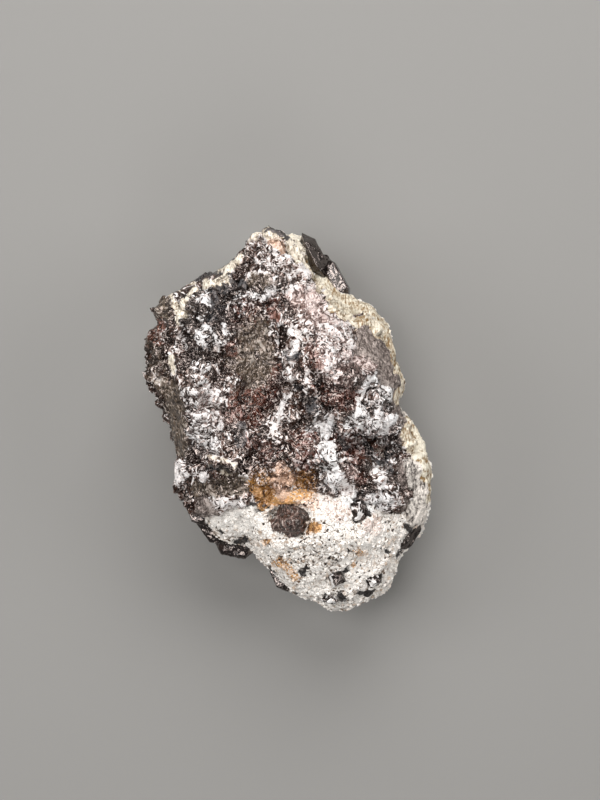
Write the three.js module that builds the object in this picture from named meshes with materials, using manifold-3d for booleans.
// A miniature cassiterite specimen. A dark mass of grown-together cassiterite crystals sits in a
// cradle of pale granular matrix, which also forms the foot of the stone, and dark crystals stand
// in that matrix. The specimen lies on the broken back of the matrix, crystal face up.
// +Y runs towards the pointed end, +X towards the cream-coloured side, and +Z up. Millimetres.
import * as THREE from "three";
import { mergeVertices } from "three/addons/utils/BufferGeometryUtils.js";
import { ImprovedNoise } from "three/addons/math/ImprovedNoise.js";
import Module from "manifold-3d";

const wasm = await Module();
wasm.setup();
const noise = new ImprovedNoise();

// Driving dimensions.
const LENGTH = 50; // from the pointed end to the toe
const HEIGHT = 25.5; // from the broken back to the highest part of the crystal face
const SEAT_GAP = 0.3; // clear all round a piece that is seated in the matrix

// The outlines and places below are drawn for a stone of this length, and scaled from it.
const DRAWN_LENGTH = 50;
const SCALE = LENGTH / DRAWN_LENGTH;

// Heights above the broken back, as shares of the whole height.
const MASS_CROWN = 0.86 * HEIGHT; // the mass's front, before its swellings and hollows
const MASS_RIM = 0.6 * HEIGHT; // where the mass is widest
const MASS_SOLE = 0.36 * HEIGHT; // the bottom of the cradle
const SHELF = 0.57 * HEIGHT; // the matrix beside the mass
const FOOT_CROWN = 0.81 * HEIGHT; // the matrix below the mass, where it wraps to the front
const MATRIX_RIM = 0.42 * HEIGHT; // where the matrix is widest
const UNBROKEN_BACK = -0.1 * HEIGHT; // where the back would be, had it not broken off flat

// Outlines seen from the front, clockwise from the pointed end.
const MASS_OUTLINE = [
  [-2.2, 24.6], [-0.6, 23.9], [0.5, 22.2], [1.8, 20.4], [3.7, 16.9], [5.7, 14.6], [7.6, 12.6],
  [8.7, 13.4], [10.5, 13.0], [11.8, 11.1], [13.1, 8.5], [13.8, 6.0], [13.8, 1.6], [14.9, 0.1],
  [15.6, -1.7], [15.4, -3.7], [15.1, -5.7], [15.5, -8.7], [15.3, -11.6], [12.8, -12.6],
  [10.2, -11.4], [6.5, -11.0], [3.2, -10.4], [-0.5, -11.2], [-3.0, -11.8], [-6.2, -10.9],
  [-9.5, -11.6], [-12.2, -12.0], [-13.6, -10.6], [-14.5, -8.1], [-14.2, -5.7], [-14.8, -3.0],
  [-15.5, -1.0], [-16.6, 2.0], [-18.1, 4.6], [-18.3, 7.5], [-17.9, 10.9], [-16.5, 12.3],
  [-17.2, 14.6], [-15.6, 16.7], [-10.6, 19.0], [-7.0, 20.2], [-5.8, 22.0], [-4.1, 23.8],
];
const MATRIX_OUTLINE = [
  [-1.0, 24.0], [0.5, 24.3], [1.8, 24.1], [2.7, 22.8], [3.4, 20.9], [5.2, 18.2], [7.0, 17.6],
  [8.6, 15.6], [10.3, 14.9], [12.3, 13.2], [13.4, 10.6], [14.4, 7.5], [15.1, 5.1], [14.6, 3.6],
  [13.9, 3.0], [14.4, 1.4], [15.8, -0.2], [16.8, -2.4], [17.7, -5.4], [18.3, -9.6],
  [17.9, -12.0], [17.2, -14.0], [15.6, -15.6], [14.7, -17.4], [13.6, -20.0], [13.0, -21.6],
  [11.4, -23.1], [10.0, -22.9], [8.7, -24.2], [6.6, -25.0], [4.3, -24.0], [2.3, -23.3],
  [0.6, -22.6], [-1.0, -21.6], [-2.0, -20.3], [-2.7, -18.6], [-5.2, -16.8], [-7.4, -16.4],
  [-9.7, -15.5], [-11.1, -14.0], [-12.9, -12.0], [-13.6, -10.4], [-13.6, -6.0], [-14.2, 0.0],
  [-15.6, 5.0], [-15.8, 10.0], [-14.4, 14.2], [-10.6, 17.0], [-6.4, 18.6], [-4.0, 22.2],
];

// Rises, and hollows where the rise is negative, on the front of the mass.
const MASS_FORMS = [
  { name: "crown", at: [0.5, 6.5], reach: [19, 22], rise: 2.2 },
  { name: "central hollow", at: [-3.8, 5.6], reach: [5.6, 11.5], turn: -4, rise: -4.0 },
  { name: "upper shoulder", at: [-3.0, 18.4], reach: [7.5, 4.6], turn: 12, rise: 2.2 },
  { name: "step under the shoulder", at: [-3.6, 15.4], reach: [6.5, 1.8], turn: 8, rise: -1.3 },
  { name: "right hump", at: [5.6, 7.4], reach: [6.4, 8.6], turn: 12, rise: 2.4 },
  { name: "light vein", at: [1.0, 7.4], reach: [1.9, 5.6], turn: 8, rise: 1.5 },
  { name: "left crest", at: [-12.4, 3.0], reach: [3.0, 13.0], turn: -8, rise: 2.6 },
  { name: "corner crest", at: [-13.2, 13.2], reach: [4.6, 2.6], turn: 50, rise: 1.6 },
  { name: "lower left ledge", at: [-9.4, -6.2], reach: [5.4, 1.7], turn: 8, rise: 1.5 },
  { name: "dark gutter", at: [-7.6, -8.6], reach: [5.6, 1.7], turn: 10, rise: -1.9 },
  { name: "right pit", at: [11.2, -3.4], reach: [4.4, 3.6], turn: -20, rise: -6.4 },
  { name: "groove into the pit", at: [7.2, -2.8], reach: [4.2, 1.6], turn: -42, rise: -3.0 },
  { name: "rib over the pit", at: [9.4, 0.9], reach: [4.8, 1.5], turn: 26, rise: 1.6 },
  { name: "lower middle swell", at: [2.6, -4.6], reach: [5.2, 4.0], rise: 1.4 },
];
// Flat breaks on the mass. Each shears off what lies beyond a plane through a point.
const MASS_BREAKS = [
  { name: "left face", through: [-14.6, 1.0, 20.6], facing: [-0.8, -0.16, 0.58] },
  { name: "corner face", through: [-14.2, 15.6, 20.2], facing: [-0.62, 0.6, 0.5] },
  { name: "upper left face", through: [-8.5, 18.7, 20.9], facing: [-0.34, 0.76, 0.55] },
  { name: "grey right face", through: [12.9, 8.8, 21.2], facing: [0.8, 0.36, 0.48] },
  { name: "upper right face", through: [3.9, 15.8, 21.0], facing: [0.66, 0.5, 0.56] },
  { name: "lower left face", through: [-13.4, -7.4, 20.0], facing: [-0.7, -0.3, 0.64] },
];
// Crystals grown together with the mass. sink is how far the middle lies below its surface.
const MASS_CRYSTALS = [
  { name: "corner blade", at: [-11.6, 14.2], girth: 1.9, length: 4.8, lean: [5, 6, 5] },
  { name: "second blade", at: [-9.0, 12.6], girth: 1.7, length: 4.4, lean: [-3, 7, 5] },
  { name: "shoulder blade", at: [-6.9, 17.0], girth: 1.4, length: 4.6, lean: [9, 4, 2] },
  { name: "corner lump", at: [-16.2, 14.0], girth: 1.8, length: 3.6, lean: [-5, 2, 8], sink: 1.4 },
  { name: "left lump", at: [-16.6, 9.2], girth: 1.7, length: 3.4, lean: [-6, 3, 7], sink: 1.6 },
  { name: "peak knob", at: [-1.8, 23.3], girth: 1.5, length: 3.4, lean: [1, 5, 8], sink: 0.6 },
  { name: "grey knob", at: [9.0, 12.0], girth: 1.9, length: 3.6, lean: [3, 5, 7], sink: 1.3 },
  { name: "rounded boss", at: [13.6, -1.9], girth: 2.4, length: 4.4, lean: [3, 1, 9], sink: 1.6 },
  { name: "pit wall", at: [13.2, -5.4], girth: 1.7, length: 4.0, lean: [2, -6, 7], sink: 0.9 },
  { name: "pale block", at: [11.6, -7.4], girth: 1.7, length: 3.0, lean: [1, -2, 9], sink: 0.6 },
];
// Beds of smaller crystals, spread over an oval patch of the mass.
const CRYSTAL_BEDS = [
  { name: "corner bed", at: [-10.8, 12.6], reach: [4.6, 3.8], count: 9, girth: [0.8, 1.4] },
  { name: "left edge bed", at: [-16.4, 7.2], reach: [1.0, 4.6], count: 7, girth: [0.8, 1.3] },
  { name: "peak bed", at: [-3.2, 20.6], reach: [3.2, 2.4], count: 7, girth: [0.7, 1.1] },
  { name: "pit bed", at: [10.6, -3.2], reach: [3.6, 3.4], count: 8, girth: [0.8, 1.3] },
  { name: "lower left bed", at: [-9.6, -5.8], reach: [3.8, 1.6], count: 5, girth: [0.7, 1.1] },
  { name: "vein bed", at: [1.2, 6.8], reach: [1.2, 5.0], count: 6, girth: [0.6, 0.9] },
];
const BED_CRYSTAL = { length: 2.4, sink: 0.25 }; // in girths

// Rises and hollows on the front of the matrix.
const MATRIX_FORMS = [
  { name: "foot swell", at: [3.0, -15.0], reach: [13, 8], rise: 2.6 },
  { name: "rust hollow", at: [0.2, -12.2], reach: [3.8, 2.6], turn: -8, rise: -2.0 },
  { name: "rust brow", at: [-0.6, -9.2], reach: [3.6, 1.8], rise: 0.9 },
  { name: "left bay", at: [-5.0, -17.6], reach: [4.6, 2.4], turn: -18, rise: -2.0 },
  { name: "toe", at: [6.6, -21.6], reach: [4.6, 3.4], rise: 1.2 },
  { name: "right slope", at: [15.4, -15.0], reach: [3.6, 9.0], turn: -14, rise: -2.4 },
  { name: "cream rib", at: [11.2, 12.6], reach: [2.4, 7.5], turn: 36, rise: 2.4 },
  { name: "upper cream knob", at: [1.2, 22.6], reach: [2.8, 2.6], rise: 4.4 },
];
const FOOT_EDGE = -4; // below this line the matrix comes up to the front
const FOOT_BLEND = 2.8; // and it does so over this length
const FOOT_SKEW = 0.1; // the line is higher towards the sides
const TOE_START = -12; // from here on the foot falls away to the toe
const TOE_FALL = 0.022;

// Dark crystals that stand in the matrix. Those in one list are grown together.
const SEATED_CRYSTALS = {
  upper_crystals: [
    { at: [3.0, 21.6], height: 12.6, girth: 1.9, length: 6.6, lean: [45, -89, 4], broad: 0.62 },
    { at: [6.0, 18.6], height: 11.4, girth: 1.9, length: 6.8, lean: [49, -87, 2], broad: 0.62 },
    { at: [4.2, 19.8], height: 9.8, girth: 1.7, length: 6.0, lean: [5, -7, -5], broad: 0.9 },
  ],
  lower_left_crystals: [
    { at: [-7.2, -15.9], height: 11.2, girth: 1.9, length: 6.2, lean: [9, -2, -2] },
    { at: [-10.2, -13.7], height: 12.0, girth: 1.6, length: 5.6, lean: [6, -8, 1] },
    { at: [-12.2, -11.4], height: 12.9, girth: 1.4, length: 5.0, lean: [4, -9, 2], broad: 0.9 },
  ],
  toe_crystal: [{ at: [-1.2, -20.3], height: 11.6, girth: 1.4, length: 4.4, lean: [4, -9, 2] }],
  iron_stained_grain: [{ at: [0.3, -12.7], sink: 0.5, girth: 2.1, length: 4.6, lean: [9, 3, 1] }],
  foot_crystal_middle: [{ at: [6, -20.3], sink: 0.6, girth: 1.2, length: 3, lean: [4, 3, 9] }],
  foot_crystal_right: [{ at: [10.6, -20.4], sink: 0.6, girth: 1.2, length: 3.2, lean: [3, -3, 9] }],
  foot_crystal_end: [{ at: [5, -22.8], sink: 0.6, girth: 1.2, length: 3.2, lean: [8, -3, 5] }],
  foot_crystal_inner: [{ at: [8.6, -11.6], sink: 0.6, girth: 1.3, length: 3.6, lean: [2, 9, 2] }],
  side_crystal: [{ at: [15.4, -14.8], sink: 0.5, girth: 1.2, length: 4.8, lean: [5, 8, -1] }],
};
const CRYSTAL_SIDES = 4;
const CRYSTAL_SINK = 0.35; // where a crystal gives no sink of its own
const CRYSTAL_TIP = 0.8; // length of a pyramid tip, in girths
const LONGEST_TIP = 0.42; // of the crystal's length

// Flat breaks round the sides and back of the matrix, deepest towards the back.
const CHIP_COUNT = 16;
const CHIP_TILT = [-0.1, -0.75]; // how far down a break faces, from the first to the last
const CHIP_BITE = [0.4, 2.4];

const WAVES = 1.4; // how often a rim rises and falls on the way round
// Broken ground: the size and depth of its lumps, and of the finer ones on them.
const LUMP = { size: 5.2, depth: 0.75, finer: 2.4, finerDepth: 0.5 };
const LUMP_SHIFTS = [0.5, 17.3, 41.7]; // where along X, Y and Z the noise is read
const EDGE_FALL = 1.5; // how a rise dies away to its edge

// How closely the skin of a stone is sampled, and how its corners crowd towards the rim.
const SKIN_DETAIL = 11;
const CROWDING = 1.6;
const WELD = 0.0005; // corners nearer than this are one corner
const ALL = 120; // longer than the stone in any direction
const GOLDEN_ANGLE = Math.PI * (3 - Math.sqrt(5));
const { lerp, smoothstep, degToRad } = THREE.MathUtils;
const vector = (list) => new THREE.Vector3(...list);

// The height that a list of rises and hollows adds at a place.
function reliefAt(forms, x, y) {
  return forms.reduce((sum, { at, reach, turn = 0, rise }) => {
    const angle = degToRad(turn);
    const [u, v] = [x - at[0], y - at[1]];
    const along = (u * Math.cos(angle) + v * Math.sin(angle)) / reach[0];
    const across = (v * Math.cos(angle) - u * Math.sin(angle)) / reach[1];
    const inside = Math.max(0, 1 - along ** 2 - across ** 2);
    return sum + rise * inside ** EDGE_FALL;
  }, 0);
}

const massFront = (x, y) => MASS_CROWN + reliefAt(MASS_FORMS, x, y);

function matrixFront(x, y) {
  const toFoot = smoothstep(FOOT_EDGE - y + FOOT_SKEW * Math.abs(x), 0, FOOT_BLEND);
  const fall = TOE_FALL * Math.max(0, TOE_START - y) ** 2;
  return lerp(SHELF, FOOT_CROWN, toFoot) - fall + reliefAt(MATRIX_FORMS, x, y);
}

// A stone's outline is seen whole from its heart. square says how full its shoulders are, and
// wave how much its rim rises and falls on the way round.
const MASS = {
  outline: MASS_OUTLINE,
  heart: [-1, 5],
  rim: MASS_RIM,
  square: 2.8,
  front: massFront,
  back: () => MASS_SOLE,
  wave: 3.2,
  breaks: MASS_BREAKS,
};
const MATRIX = {
  outline: MATRIX_OUTLINE,
  heart: [0.5, 0],
  rim: MATRIX_RIM,
  square: 2.5,
  front: matrixFront,
  back: () => UNBROKEN_BACK,
  wave: 4.4,
  breaks: [],
};

// How far a ray from the heart at an angle runs before it leaves the outline.
function reachOf({ outline, heart }, angle) {
  const [dx, dy] = [Math.cos(angle), Math.sin(angle)];
  const crossings = outline.map(([ax, ay], i) => {
    const [bx, by] = outline[(i + 1) % outline.length];
    const [u, v] = [ax - heart[0], ay - heart[1]];
    const cross = dx * (by - ay) - dy * (bx - ax);
    const share = (u * dy - v * dx) / cross;
    return share >= 0 && share <= 1 ? (u * (by - ay) - v * (bx - ax)) / cross : 0;
  });
  return Math.max(...crossings);
}

const swellOf = ({ square }, share) => Math.max(0, 1 - share ** square) ** (1 / square);

// The height of a stone's rim on the way round. The rim also picks where the noise is read.
function rimAt({ rim, wave }, angle) {
  return rim + wave * noise.noise(WAVES * Math.cos(angle), WAVES * Math.sin(angle), rim);
}

// The height of a stone's front at a place, its flat breaks taken off.
function heightAt(stone, x, y) {
  const [u, v] = [x - stone.heart[0], y - stone.heart[1]];
  const angle = Math.atan2(v, u);
  const share = Math.min(1, Math.hypot(u, v) / reachOf(stone, angle));
  const whole = lerp(rimAt(stone, angle), stone.front(x, y), swellOf(stone, share));
  const cuts = stone.breaks.map(({ through: [px, py, pz], facing: [nx, ny, nz] }) => {
    return pz - ((x - px) * nx + (y - py) * ny) / nz;
  });
  return Math.min(whole, ...cuts);
}

// How far the broken ground moves a corner from its place.
function unevenness(p) {
  const along = (shift) => {
    const coarse = noise.noise(p.x / LUMP.size + shift, p.y / LUMP.size, p.z / LUMP.size);
    const fine = noise.noise(p.x / LUMP.finer, p.y / LUMP.finer + shift, p.z / LUMP.finer);
    return LUMP.depth * coarse + LUMP.finerDepth * fine;
  };
  return vector(LUMP_SHIFTS.map(along));
}

// Where a direction from the heart of a stone meets its skin, on smooth ground.
function skinPoint(stone, direction) {
  const tilt = Math.acos(Math.min(1, Math.abs(direction.z))) / (Math.PI / 2);
  const share = 1 - (1 - tilt) ** CROWDING;
  const angle = Math.atan2(direction.y, direction.x);
  const reach = reachOf(stone, angle) * share;
  const x = stone.heart[0] + reach * Math.cos(angle);
  const y = stone.heart[1] + reach * Math.sin(angle);
  const face = direction.z > 0 ? stone.front(x, y) : stone.back(x, y);
  return vector([x, y, lerp(rimAt(stone, angle), face, swellOf(stone, share))]);
}

// A stone as a solid with broken ground on it, its skin moved out by grow.
function stoneSolid(stone, grow) {
  const ball = new THREE.IcosahedronGeometry(1, SKIN_DETAIL);
  ball.deleteAttribute("normal");
  ball.deleteAttribute("uv");
  const skin = mergeVertices(ball, WELD);
  const { position } = skin.attributes;
  const corner = new THREE.Vector3();
  for (let i = 0; i < position.count; i++) {
    const smooth = skinPoint(stone, corner.fromBufferAttribute(position, i));
    position.setXYZ(i, ...smooth.add(unevenness(smooth)));
  }
  skin.computeVertexNormals();
  const out = new THREE.Vector3();
  for (let i = 0; i < position.count; i++) {
    out.fromBufferAttribute(skin.attributes.normal, i);
    position.setXYZ(i, ...corner.fromBufferAttribute(position, i).addScaledVector(out, grow));
  }
  return toSolid(skin);
}

// A closed geometry as a solid, with each corner held once.
function toSolid(geometry) {
  geometry.deleteAttribute("normal");
  geometry.deleteAttribute("uv");
  const merged = mergeVertices(geometry, WELD);
  const corners = merged.index.array;
  const kept = [];
  for (let i = 0; i < corners.length; i += 3) {
    const [a, b, c] = corners.slice(i, i + 3);
    if (a !== b && b !== c && c !== a) kept.push(a, b, c);
  }
  const vertProperties = merged.attributes.position.array;
  return new wasm.Manifold(
    new wasm.Mesh({ numProp: 3, vertProperties, triVerts: new Uint32Array(kept) }),
  );
}

// All that lies beyond a plane, as a solid to cut away.
function beyond(point, facing) {
  const block = new THREE.BoxGeometry(ALL, ALL, ALL);
  const turn = new THREE.Quaternion().setFromUnitVectors(vector([0, 0, 1]), facing);
  block.translate(0, 0, ALL / 2);
  block.applyQuaternion(turn);
  block.translate(point.x, point.y, point.z);
  return toSolid(block);
}

// A stubby prism with a pyramid at either end. place tells one crystal's turn from the next.
function crystalSolid(stone, crystal, place, grow) {
  const { at, sink = CRYSTAL_SINK, girth, length, lean, broad = 1 } = crystal;
  const height = crystal.height ?? heightAt(stone, ...at) - sink;
  const half = length / 2 + grow;
  const shoulder = half - Math.min(CRYSTAL_TIP * girth, LONGEST_TIP * length);
  const wide = girth + Math.SQRT2 * grow;
  const profile = [[0, -half], [wide, -shoulder], [wide, shoulder], [0, half]];
  const points = profile.map(([x, y]) => new THREE.Vector2(x, y));
  const prism = new THREE.LatheGeometry(points, CRYSTAL_SIDES, place * GOLDEN_ANGLE);
  const axis = vector([0, 1, 0]);
  prism.scale(broad, 1, 1);
  prism.applyQuaternion(new THREE.Quaternion().setFromUnitVectors(axis, vector(lean).normalize()));
  prism.translate(at[0], at[1], height);
  return toSolid(prism);
}

// The crystals of one bed, spread evenly and leaning every way.
function bedCrystals({ at, reach, count, girth: [least, most] }) {
  return Array.from({ length: count }, (_, i) => {
    const angle = i * GOLDEN_ANGLE;
    const out = Math.sqrt((i + 0.5) / count);
    const girth = lerp(least, most, (i * Math.SQRT2) % 1);
    return {
      at: [at[0] + reach[0] * out * Math.cos(angle), at[1] + reach[1] * out * Math.sin(angle)],
      girth,
      length: BED_CRYSTAL.length * girth,
      lean: [Math.cos(3 * angle), Math.sin(5 * angle), 1],
      sink: BED_CRYSTAL.sink * girth,
    };
  });
}

// The dark mass with the crystals that are grown together with it, its skin moved out by grow.
function massSolid(grow) {
  const whole = stoneSolid(MASS, grow);
  const broken = MASS_BREAKS.reduce((left, { through, facing }) => {
    const out = vector(facing).normalize();
    return left.subtract(beyond(vector(through).addScaledVector(out, grow), out));
  }, whole);
  const crystals = [...MASS_CRYSTALS, ...CRYSTAL_BEDS.flatMap(bedCrystals)];
  return crystals.reduce((body, crystal, place) => {
    return body.add(crystalSolid(MASS, crystal, place, grow));
  }, broken);
}

// One group of crystals that stand in the matrix, joined where they meet.
function seatedSolid(crystals, grow) {
  return crystals
    .map((crystal, place) => crystalSolid(MATRIX, crystal, place, grow))
    .reduce((group, crystal) => group.add(crystal));
}

// The farthest that a solid reaches in a direction.
function farthest(solid, direction) {
  const { vertProperties, numProp, numVert } = solid.getMesh();
  let far = -Infinity;
  for (let i = 0; i < numVert; i++) {
    const corner = vector(vertProperties.subarray(i * numProp, i * numProp + 3));
    far = Math.max(far, corner.dot(direction));
  }
  return far;
}

// Flat breaks at spread directions round the sides and the back.
function chipped(solid) {
  let left = solid;
  for (let i = 0; i < CHIP_COUNT; i++) {
    const share = (i + 0.5) / CHIP_COUNT;
    const tilt = lerp(...CHIP_TILT, share);
    const flat = Math.sqrt(1 - tilt ** 2);
    const angle = i * GOLDEN_ANGLE;
    const facing = vector([flat * Math.cos(angle), flat * Math.sin(angle), tilt]);
    const depth = farthest(left, facing) - lerp(...CHIP_BITE, share);
    left = left.subtract(beyond(facing.clone().multiplyScalar(depth), facing));
  }
  return left;
}

// The matrix: broken off flat below, and hollowed for the mass and the seated crystals.
function matrixSolid() {
  const down = vector([0, 0, -1]);
  const block = chipped(stoneSolid(MATRIX, 0)).subtract(beyond(vector([0, 0, 0]), down));
  return Object.values(SEATED_CRYSTALS)
    .map((crystals) => seatedSolid(crystals, SEAT_GAP))
    .reduce((left, cut) => left.subtract(cut), block.subtract(massSolid(SEAT_GAP)));
}

// The triangles of the biggest of a mesh's separate bodies, so that no loose crumb is kept.
function biggestBody(triangles, cornerCount) {
  const owner = Array.from({ length: cornerCount }, (_, i) => i);
  const rootOf = (i) => {
    while (owner[i] !== i) i = owner[i] = owner[owner[i]];
    return i;
  };
  for (let i = 0; i < triangles.length; i += 3) {
    owner[rootOf(triangles[i])] = rootOf(triangles[i + 1]);
    owner[rootOf(triangles[i + 1])] = rootOf(triangles[i + 2]);
  }
  const bodies = new Map();
  for (let i = 0; i < triangles.length; i += 3) {
    const root = rootOf(triangles[i]);
    if (!bodies.has(root)) bodies.set(root, []);
    bodies.get(root).push(...triangles.subarray(i, i + 3));
  }
  return [...bodies.values()].sort((a, b) => b.length - a.length)[0];
}

// A solid as a named mesh at its real size.
function meshOf(name, solid, material) {
  const { vertProperties, triVerts, numProp, numVert } = solid.getMesh();
  const corners = new Float32Array(numVert * 3);
  for (let i = 0; i < numVert; i++) {
    corners.set(vertProperties.subarray(i * numProp, i * numProp + 3), i * 3);
  }
  const geometry = new THREE.BufferGeometry();
  geometry.setAttribute("position", new THREE.BufferAttribute(corners, 3));
  geometry.setIndex(biggestBody(triVerts, numVert));
  geometry.scale(SCALE, SCALE, 1);
  const mesh = new THREE.Mesh(geometry, material);
  mesh.name = name;
  return mesh;
}

// Brilliant, nearly black brown: a hard mineral with a glassy to metallic shine.
function cassiteriteFinish() {
  return new THREE.MeshStandardMaterial({ color: 0x4d423e, roughness: 0.3, metalness: 0.1 });
}

// White to cream crust of fine grains and mica.
function matrixFinish() {
  return new THREE.MeshStandardMaterial({ color: 0xcabaaf, roughness: 0.75, metalness: 0 });
}

// Dull brown grain in its rust stain.
function stainedFinish() {
  return new THREE.MeshStandardMaterial({ color: 0x71584c, roughness: 0.85, metalness: 0 });
}

function specimen() {
  const group = new THREE.Group();
  const massAndGap = massSolid(SEAT_GAP);
  group.add(meshOf("cassiterite_mass", massSolid(0), cassiteriteFinish()));
  group.add(meshOf("pale_matrix", matrixSolid(), matrixFinish()));
  for (const [name, crystals] of Object.entries(SEATED_CRYSTALS)) {
    const finish = name === "iron_stained_grain" ? stainedFinish() : cassiteriteFinish();
    group.add(meshOf(name, seatedSolid(crystals, 0).subtract(massAndGap), finish));
  }
  const box = new THREE.Box3().setFromObject(group);
  const middle = box.getCenter(new THREE.Vector3());
  group.position.set(-middle.x, -middle.y, -box.min.z);
  return group;
}

export default specimen();
